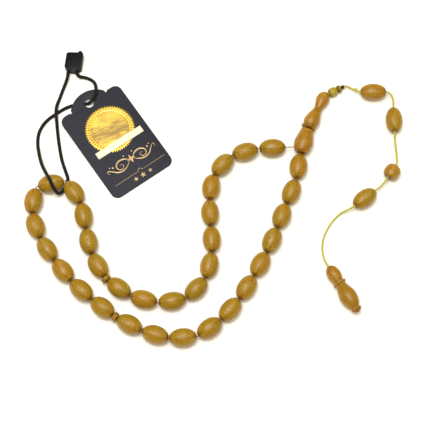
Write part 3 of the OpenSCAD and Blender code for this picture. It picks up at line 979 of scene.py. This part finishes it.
def plate_with_holes(loops, thickness, edge, lift=0.0):
    """A bmesh plate from closed loops of points in millimetres, the first the outside, the others
    holes, with its upper and lower edges rounded off."""
    bm = bmesh.new()
    edges = []
    for loop in loops:
        ring = [bm.verts.new((p.x * MM, p.y * MM, lift * MM)) for p in loop]
        edges += [bm.edges.new((a, b)) for a, b in zip(ring, ring[1:] + ring[:1])]
    bmesh.ops.triangle_fill(bm, use_beauty=True, use_dissolve=False, edges=edges)
    faces = list(bm.faces)
    out = bmesh.ops.extrude_face_region(bm, geom=faces)
    top = [g for g in out["geom"] if isinstance(g, bmesh.types.BMVert)]
    bmesh.ops.translate(bm, vec=(0, 0, thickness * MM), verts=top)
    bmesh.ops.recalc_face_normals(bm, faces=bm.faces)
    if edge:
        rim = [e for e in bm.edges if e.calc_face_angle(0) > 1.2]
        bmesh.ops.bevel(
            bm, geom=rim, offset=edge * MM, offset_type="OFFSET", segments=2, profile=0.5,
            affect="EDGES", clamp_overlap=True,
        )
    return bm


def on_card(bm, name, node, material, sharp=40):
    """Finishes a piece that was built in the card's own coordinates."""
    for vertex in bm.verts:
        vertex.co.z = max(vertex.co.z, 0)
    piece = finish_piece(name, bm, node, material, sharp=sharp)
    local = piece.data.attributes.new("local", "FLOAT_VECTOR", "POINT")
    local.data.foreach_set("vector", [c / MM for v in piece.data.vertices for c in v.co])
    piece.matrix_world = card_matrix
    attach(piece, "tag")
    return piece


def card_material():
    """Dark coated card: a fine tooth, faint mottling, and paler worn edges."""
    n = Nodes("tag_card")
    local = n.local()
    tooth = n.noise(local, 9.0, 3, 0.7)
    cloud = n.noise(local, 0.35, 3, 0.55)
    fibres = n.noise(n.vector("MULTIPLY", local, (1.2, 6.0, 1.0)), 1.1, 4)
    level = n.plus(n.times(tooth, 0.5), n.times(fibres, 0.5))
    base = n.mix(
        n.ramp(level, (0.35, 0), (0.7, 1)), colour(0.011, 0.012, 0.021), colour(0.022, 0.023, 0.039)
    )
    base = n.mix(n.times(cloud, 0.35), base, colour(0.028, 0.029, 0.048))
    off_middle = n.math("ABSOLUTE", n.math("SUBTRACT", n.split(local)[2], CARD_T / 2))
    base = n.mix(n.ramp(off_middle, (0.14, 0.8), (CARD_T / 2 - 0.01, 0)), base, colour(0.07, 0.07, 0.08))
    n.set(
        Base_Color=base,
        Roughness=n.plus(n.times(tooth, 0.2), 0.5),
        Specular_IOR_Level=0.22,
    )
    n.bump(level, 0.25, 0.00004)
    return n.material


SHEEN_LINE = 16.5  # the foil is brownest along a slanting line this far below the string's hole, a painted dark reflection


def foil_material(name, bright, mid, brown, grain):
    """Printed gold foil. grain is how strongly brown brush marks cross it, together with a painted dark
    reflection along a slanting band.
    """
    n = Nodes(name)
    local = n.local()
    turn = n.add("VectorRotate", rotation_type="Z_AXIS")
    n.put(turn.inputs["Vector"], local)
    n.put(turn.inputs["Angle"], math.radians(12))
    brush = n.noise(n.vector("MULTIPLY", turn.outputs[0], (0.3, 2.4, 1.0)), 0.8, 6, 0.6, 0.7)
    sweep = n.noise(local, 0.09, 2, 0.5)
    # Painted dark reflection: a brown band along a slanting line across the foil
    off = n.math("ABSOLUTE", n.plus(n.split(turn.outputs[0])[1], SHEEN_LINE))
    sheen = n.ramp(n.times(off, 0.14), (0, 0.28), (1, 0))
    band = n.plus(n.times(brush, 0.9), sheen)
    band = n.ramp(band, (0.42, 0), (0.78, 1))
    base = n.mix(n.ramp(sweep, (0.4, 0), (0.62, 1)), bright, mid)
    base = n.mix(n.times(band, grain), base, brown)
    n.set(
        Base_Color=base, Metallic=0.35,
        Roughness=n.plus(n.times(brush, 0.25), 0.2),
        Coat_Weight=0.2, Coat_Roughness=0.2,
    )
    n.bump(brush, 0.25, 0.00004)
    return n.material


def paper_material():
    n = Nodes("tag_label")
    local = n.local()
    tooth = n.noise(local, 7.0, 4, 0.7)
    stain = n.noise(local, 0.5, 2, 0.5)
    base = n.mix(
        n.ramp(tooth, (0.3, 0), (0.75, 1)), colour(0.7, 0.68, 0.55), colour(0.8, 0.79, 0.68)
    )
    base = n.mix(n.times(stain, 0.25), base, colour(0.6, 0.55, 0.38))
    n.set(Base_Color=base, Roughness=0.7, Specular_IOR_Level=0.3)
    n.bump(tooth, 0.3, 0.00003)
    return n.material


tag_card = card_material()
seal_rim_foil = foil_material(
    "tag_foil_rim", colour(0.7, 0.47, 0.035), colour(0.58, 0.35, 0.025), colour(0.26, 0.13, 0.015), 0.35
)
seal_face_foil = foil_material(
    "tag_foil_face", colour(0.66, 0.46, 0.04), colour(0.5, 0.31, 0.025), colour(0.13, 0.06, 0.008), 0.85
)
print_foil = foil_material(
    "tag_foil_print", colour(0.38, 0.25, 0.1), colour(0.28, 0.18, 0.07), colour(0.16, 0.1, 0.04), 0.4
)
stud_foil = foil_material(
    "tag_foil_stud", colour(0.17, 0.085, 0.012), colour(0.14, 0.07, 0.01), colour(0.07, 0.035, 0.006), 0.4
)
label_paper = paper_material()



def card_piece():
    half, r = CARD_W / 2, CORNER_R
    low, high = CARD_BOTTOM + r, CARD_TOP - r
    meet = math.sqrt(TAB_R**2 - (CARD_TOP - TAB_Y) ** 2)
    tab = math.degrees(math.atan2(CARD_TOP - TAB_Y, meet))
    loop = arc(half - r, low, r, -90, 0, 10) + arc(half - r, high, r, 0, 90, 10)
    loop += arc(meet, CARD_TOP, NOTCH_R, 0, -130, 6)
    loop += arc(0, TAB_Y, TAB_R, tab + 4, 176 - tab, 40)
    loop += arc(-meet, CARD_TOP, NOTCH_R, -50, -180, 6)
    loop += arc(-half + r, high, r, 90, 180, 10) + arc(-half + r, low, r, 180, 270, 10)
    hole = arc(0, 0, HOLE_R, 0, 350, 35)
    bm = plate_with_holes([loop, hole], CARD_T, 0.09)
    return on_card(bm, "tag_card_board", "tag_card", tag_card)


card_piece()

GRAPHIC_X = 0.8  # the print sits a little right of the card's middle
SEAL_Y, SEAL_R, SEAL_TEETH, TOOTH = -16.0, 11.58, 60, 1.0
SEAL_T = 0.12


def add_ring(bm, x, y, radius, height, sides):
    """A ring of new points, in millimetres."""
    turns = [TURN * k / sides for k in range(sides)]
    return [
        bm.verts.new(
            ((x + radius * math.cos(a)) * MM, (y + radius * math.sin(a)) * MM, height * MM)
        )
        for a in turns
    ]


def join_rings(bm, first, second):
    """A band of faces from one closed ring of points to another of as many."""
    count = len(first)
    for k in range(count):
        m = (k + 1) % count
        bm.faces.new((first[k], first[m], second[m], second[k]))


def seal_rim():
    """The serrated rim: teeth, a flat band, and a raised ring inside it."""
    bm = bmesh.new()
    x0, y0 = GRAPHIC_X, SEAL_Y
    rings = [(SEAL_R, 0.0), (SEAL_R - 0.1, 0.05), (SEAL_R - 1.1, 0.07), (SEAL_R - 1.2, 0.1),
             (9.0, 0.08), (8.9, 0.05), (8.84, 0.12), (8.7, 0.12), (8.64, 0.05), (8.6, 0.0)]
    tooth_share = {0: 1, 1: 1, 2: 0.35}  # how much of the teeth the outer rings follow
    count = SEAL_TEETH * 4
    made = []
    for j, (radius, height) in enumerate(rings):
        ring = []
        for k in range(count):
            a = TURN * k / count
            tooth = (0.5 + 0.5 * math.cos(SEAL_TEETH * a)) * TOOTH * tooth_share.get(j, 0)
            ring.append(
                bm.verts.new(
                    (
                        (x0 + (radius - tooth) * math.cos(a)) * MM,
                        (y0 + (radius - tooth) * math.sin(a)) * MM, (CARD_T + height) * MM,
                    )
                )
            )
        made.append(ring)
    for outer, inner in zip(made, made[1:] + made[:1]):
        join_rings(bm, outer, inner)
    return on_card(bm, "seal_rim", "tag_seal", seal_rim_foil, sharp=60)


def small_dome(bm, x, y, radius, low, rise, sides=8):
    """A tiny rounded stud, closed underneath."""
    base = add_ring(bm, x, y, radius, low, sides)
    ring = add_ring(bm, x, y, 0.7 * radius, low + 0.8 * rise, sides)
    top = bm.verts.new((x * MM, y * MM, (low + rise) * MM))
    bm.faces.new(base[::-1])
    join_rings(bm, base, ring)
    for k in range(sides):
        bm.faces.new((ring[k], ring[(k + 1) % sides], top))


def seal_studs():
    bm = bmesh.new()
    studs, reach = 48, 9.75
    for k in range(studs):
        a = TURN * k / studs
        x, y = GRAPHIC_X + reach * math.cos(a), SEAL_Y + reach * math.sin(a)
        small_dome(bm, x, y, 0.34, CARD_T + 0.08, 0.09)
    return on_card(bm, "seal_studs", None, stud_foil)


def seal_face():
    """The middle disc, very slightly domed."""
    bm = bmesh.new()
    sides, steps, radius = 64, 10, 8.58
    rings = []
    for j in range(steps + 1):
        r = radius * (1 - j / (steps + 1))
        z = CARD_T + 0.03 + 0.08 * (1 - (r / radius) ** 2)
        rings.append(add_ring(bm, GRAPHIC_X, SEAL_Y, r, z, sides))
    top = bm.verts.new((GRAPHIC_X * MM, SEAL_Y * MM, (CARD_T + 0.11) * MM))
    foot = [bm.verts.new((v.co.x, v.co.y, CARD_T * MM)) for v in rings[0]]
    for outer, inner in zip([foot] + rings, rings):
        join_rings(bm, outer, inner)
    for k in range(sides):
        bm.faces.new((rings[-1][k], rings[-1][(k + 1) % sides], top))
    bm.faces.new(foot[::-1])
    return on_card(bm, "seal_face", None, seal_face_foil)


seal_rim()
seal_studs()
seal_face()


def box_loop(x0, y0, x1, y1):
    return [Vector((x0, y0, 0)), Vector((x1, y0, 0)), Vector((x1, y1, 0)), Vector((x0, y1, 0))]


LABEL_Y, LABEL_W, LABEL_L, LABEL_T = -23.9, 24.4, 3.2, 0.1


def label_piece():
    low, high = LABEL_Y - LABEL_L / 2, LABEL_Y + LABEL_L / 2
    strip = box_loop(GRAPHIC_X - LABEL_W / 2, low, GRAPHIC_X + LABEL_W / 2, high)
    bm = plate_with_holes([strip], LABEL_T, 0.02, lift=CARD_T + SEAL_T)
    return on_card(bm, "label_strip", "tag_label", label_paper)


label_piece()


def flat_stroke(bm, points, widths, low, rise):
    """A thin raised band along points in millimetres, as wide as its widths."""
    line = smooth_line([Vector((x, y, 0)) for x, y in points], 8)
    count = len(line)
    rows = []
    for i, p in enumerate(line):
        t = i / (count - 1) * (len(widths) - 1)
        j = min(int(t), len(widths) - 2)
        wide = widths[j] + (widths[j + 1] - widths[j]) * (t - j)
        direction = (line[min(i + 1, count - 1)] - line[max(i - 1, 0)]).normalized()
        side = Vector((-direction.y, direction.x, 0)) * wide / 2
        rows.append(
            [bm.verts.new(((p + side * s).x * MM, (p + side * s).y * MM, z * MM))
             for s, z in ((1, low), (0.8, low + rise), (-0.8, low + rise), (-1, low))]
        )
    for a, b in zip(rows, rows[1:]):
        join_rings(bm, a, b)
    bm.faces.new(rows[0])
    bm.faces.new(rows[-1][::-1])


PRINT_RISE = 0.03


def raised_star(bm, x, y, radius, points=5, inner=0.42):
    """A printed star, with one point straight up."""
    corners = []
    for k in range(2 * points):
        reach = radius * (1 if k % 2 == 0 else inner)
        a = math.radians(90 + 180 * k / points)
        corners.append((x + reach * math.cos(a), y + reach * math.sin(a)))
    foot = [bm.verts.new((x * MM, y * MM, CARD_T * MM)) for x, y in corners]
    top = [bm.verts.new((x * MM, y * MM, (CARD_T + PRINT_RISE) * MM)) for x, y in corners]
    bm.faces.new(foot[::-1])
    bm.faces.new(top)
    join_rings(bm, foot, top)


def card_ornament():
    """A plain symmetrical scroll where a hang tag has its heading."""
    bm = bmesh.new()
    x0, y0 = GRAPHIC_X, -33.2
    scroll = [
        (0.9, 0.2), (3.0, 1.7), (5.6, 2.0), (7.6, 0.6), (7.4, -1.4), (5.7, -2.0), (4.6, -0.9),
        (5.2, 0.1), (6.1, -0.2),
    ]
    scroll_widths = [0.2, 0.7, 0.75, 0.6, 0.45, 0.4, 0.3, 0.2, 0.12]
    tail = [
        (0.9, -0.2), (3.0, -1.9), (5.8, -2.9), (8.6, -2.2), (10.6, -0.4), (12.2, 0.6),
        (12.6, -0.5), (11.8, -1.0),
    ]
    tail_widths = [0.15, 0.5, 0.65, 0.6, 0.45, 0.35, 0.25, 0.12]
    for side in (-1, 1):
        for stroke, widths in ((scroll, scroll_widths), (tail, tail_widths)):
            points = [(x0 + side * x, y0 + y) for x, y in stroke]
            flat_stroke(bm, points, widths, CARD_T, PRINT_RISE)
        for x, y, r in ((9.3, 0.9, 0.42), (10.6, 1.6, 0.3), (2.2, 3.0, 0.32)):
            small_dome(bm, x0 + side * x, y0 + y, r, CARD_T, PRINT_RISE, sides=12)
    raised_star(bm, x0, y0, 2.3, points=4, inner=0.34)
    return on_card(bm, "tag_scroll", None, print_foil)


def card_rule_and_stars():
    """A dashed rule with a small peak in its middle, and three stars under it."""
    bm = bmesh.new()
    x0, y0, half = GRAPHIC_X + 0.3, -40.2, 13.3
    dashes = 52
    for k in range(dashes):
        x = x0 - half + 2 * half * (k + 0.5) / dashes
        if abs(x - x0) > 1.1:
            flat_stroke(bm, [(x - 0.17, y0), (x + 0.17, y0)], [0.26, 0.26], CARD_T, PRINT_RISE)
    peak = [(x0 - 1.2, y0), (x0, y0 + 1.1), (x0 + 1.2, y0)]
    flat_stroke(bm, peak, [0.2, 0.24, 0.2], CARD_T, PRINT_RISE)
    for x, radius in ((-3.8, 1.15), (0, 1.4), (3.8, 1.15)):
        raised_star(bm, x0 + x, -42.7, radius)
    return on_card(bm, "tag_rule_and_stars", None, print_foil)


card_ornament()
card_rule_and_stars()


# ---- the string lock ----


def lock_material():
    n = Nodes("tag_lock")
    where = n.add("TexCoord").outputs["Object"]
    tooth = n.noise(where, 9000.0, 3, 0.6)
    cloud = n.noise(where, 900.0, 3, 0.5)
    base = n.mix(
        n.ramp(cloud, (0.35, 0), (0.65, 1)), colour(0.001, 0.002, 0.005), colour(0.004, 0.005, 0.011)
    )
    n.set(
        Base_Color=base,
        Roughness=n.plus(n.times(cloud, 0.25), 0.3),
        Specular_IOR_Level=0.12,
    )
    n.bump(tooth, 0.3, 0.00003)
    return n.material


tag_lock = lock_material()
LOCK_AT = place(-65.2, 64.1, 0.05)
LOCK_HEADING = math.radians(-6)
lock_matrix = Matrix.Translation(LOCK_AT) @ Matrix.Rotation(LOCK_HEADING, 4, "Z")
LOCK_W, LOCK_L, LOCK_T = 7.6, 9.4, 4.4
SOCKET_X, PLUG_X, PLUG_R = -2.2, 2.1, 0.9


def lock_body():
    w, l, c = LOCK_W / 2, LOCK_L / 2, 1.6
    loop = [
        Vector(p + (0,)) for p in (
            (-w, -l + c), (-w + c, -l), (w - 1.4 * c, -l), (w, -l + c), (w, l - 0.4), (w - 0.4, l),
            (-w + 0.8, l - 0.5), (-w, l - 1.2),
        )
    ]
    bm = plate_with_holes([loop], LOCK_T, 0)
    mesh = bpy.data.meshes.new("lock_case")
    bm.to_mesh(mesh)
    bm.free()
    piece = finish_piece("lock_case", mesh, "lock_body", tag_lock, sharp=35)
    piece.matrix_world = lock_matrix
    return piece


def drill(piece, x, depth, radius, start):
    """Cuts a round hole along a piece's Y, from a start in millimetres."""
    bm = bmesh.new()
    bmesh.ops.create_cone(
        bm, cap_ends=True, segments=24, radius1=radius * MM, radius2=radius * MM, depth=depth * MM,
        matrix=Matrix.Translation(Vector((x, start + depth / 2, LOCK_T / 2)) * MM)
        @ Matrix.Rotation(math.pi / 2, 4, "X"),
    )
    mesh = bpy.data.meshes.new("drill")
    bm.to_mesh(mesh)
    bm.free()
    tool = new_object("drill", mesh)
    tool.matrix_world = piece.matrix_world
    cut = piece.modifiers.new("cut", "BOOLEAN")
    cut.object = tool
    cut.solver = "EXACT"
    return tool


def apply_modifiers(piece):
    bpy.context.view_layer.update()
    graph = bpy.context.evaluated_depsgraph_get()
    mesh = bpy.data.meshes.new_from_object(piece.evaluated_get(graph))
    piece.modifiers.clear()
    piece.data = mesh


def finished_lock():
    piece = lock_body()
    tools = [
        drill(piece, SOCKET_X, 4.0, STRING_D / 2 / MM + 0.05, -LOCK_L / 2 - 1),
        drill(piece, PLUG_X, LOCK_L + 2, PLUG_R + 0.06, -LOCK_L / 2 - 1),
    ]
    apply_modifiers(piece)
    for tool in tools:
        bpy.data.objects.remove(tool)
    bevel = piece.modifiers.new("soft_edges", "BEVEL")
    bevel.width = 0.22 * MM
    bevel.segments = 3
    bevel.limit_method = "ANGLE"
    bevel.angle_limit = math.radians(35)
    apply_modifiers(piece)
    for polygon in piece.data.polygons:
        polygon.use_smooth = True
    piece.data.set_sharp_from_angle(angle=math.radians(35))
    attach(piece, body_of["lock_body"])


finished_lock()


def lock_plug():
    """The snap plug's stub: a pin with a ribbed, blunt tip."""
    start, end = -3.3, 6.2
    shaft = [
        (0.45, start), (PLUG_R - 0.1, start + 0.05), (PLUG_R, start + 0.3), (PLUG_R, 2), (PLUG_R, 4.9)
    ]
    tip = [
        (PLUG_R - 0.15, 5.0), (PLUG_R - 0.15, 5.2), (PLUG_R, 5.3), (PLUG_R, 5.85),
        (PLUG_R - 0.2, 6.1), (0.45, end),
    ]
    side = side_profile(shaft, 3) + tip
    outline = [(r, h, 0.0) for r, h in side + [(0.02, end), (0.02, start)]]
    mesh = turned_mesh("lock_pin", outline, 32, 0.5)
    piece = finish_piece("lock_pin", mesh, "lock_plug", tag_lock, sharp=40)
    piece.matrix_world = (
        lock_matrix @ Matrix.Translation(Vector((PLUG_X, 0, LOCK_T / 2)) * MM)
        @ Matrix.Rotation(-math.pi / 2, 4, "X")
    )
    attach(piece, body_of["lock_plug"])


lock_plug()


# ---- stage ----


def floor():
    """A round pale table top, which ends before the light on it fades."""
    reach, sides = 0.42, 96
    rim = [
        (reach * math.cos(TURN * k / sides), reach * math.sin(TURN * k / sides), 0)
        for k in range(sides)
    ]
    mesh = bpy.data.meshes.new("floor")
    mesh.from_pydata(rim, [], [tuple(range(sides))])
    piece = new_object("floor", mesh)
    n = Nodes("floor")
    n.set(Base_Color=colour(0.9, 0.9, 0.9), Roughness=0.85, Specular_IOR_Level=0.1)
    mesh.materials.append(n.material)


def softbox(name, at, aim, size, power, tint):
    light = bpy.data.lights.new(name, "AREA")
    light.shape = "RECTANGLE"
    light.size, light.size_y = size
    light.energy = power
    light.color = tint
    lamp = new_object(name, light)
    lamp.location = at
    lamp.rotation_euler = (aim - at).to_track_quat("-Z", "Y").to_euler()


WORLD_GLOW, WORLD_STRENGTH = (1.0, 0.77, 0.33, 1), 0.34
BACKDROP = (1, 1, 0.99, 1)
LAMP_TINT = (0.98, 0.98, 0.95)
CEILING_SIDE, CEILING_POWER = 1.15, 10.5
KEY_SIDE, KEY_POWER = 0.22, 3


def studio():
    """A soft ceiling light, a small key light, and a yellow fill that reaches into the shadows. The
    camera sees a pale backdrop past the table top."""
    world = bpy.data.worlds.new("studio")
    bpy.context.scene.world = world
    world.use_nodes = True
    tree = world.node_tree
    glow = tree.nodes["Background"]
    glow.inputs["Color"].default_value = WORLD_GLOW
    glow.inputs["Strength"].default_value = WORLD_STRENGTH
    pale = tree.nodes.new("ShaderNodeBackground")
    pale.inputs["Color"].default_value = BACKDROP
    seen = tree.nodes.new("ShaderNodeLightPath").outputs["Is Camera Ray"]
    either = tree.nodes.new("ShaderNodeMixShader")
    tree.links.new(seen, either.inputs[0])
    tree.links.new(glow.outputs[0], either.inputs[1])
    tree.links.new(pale.outputs[0], either.inputs[2])
    tree.links.new(either.outputs[0], tree.nodes["World Output"].inputs["Surface"])
    aim = Vector((0, 0, 0))
    ceiling, key = Vector((-0.05, 0.05, 0.95)), Vector((-0.1, -0.02, 0.8))
    softbox("ceiling", ceiling, aim, (CEILING_SIDE, CEILING_SIDE), CEILING_POWER, LAMP_TINT)
    softbox("key", key, aim, (KEY_SIDE, KEY_SIDE), KEY_POWER, LAMP_TINT)


floor()
studio()
bpy.context.scene.view_settings.view_transform = "Standard"
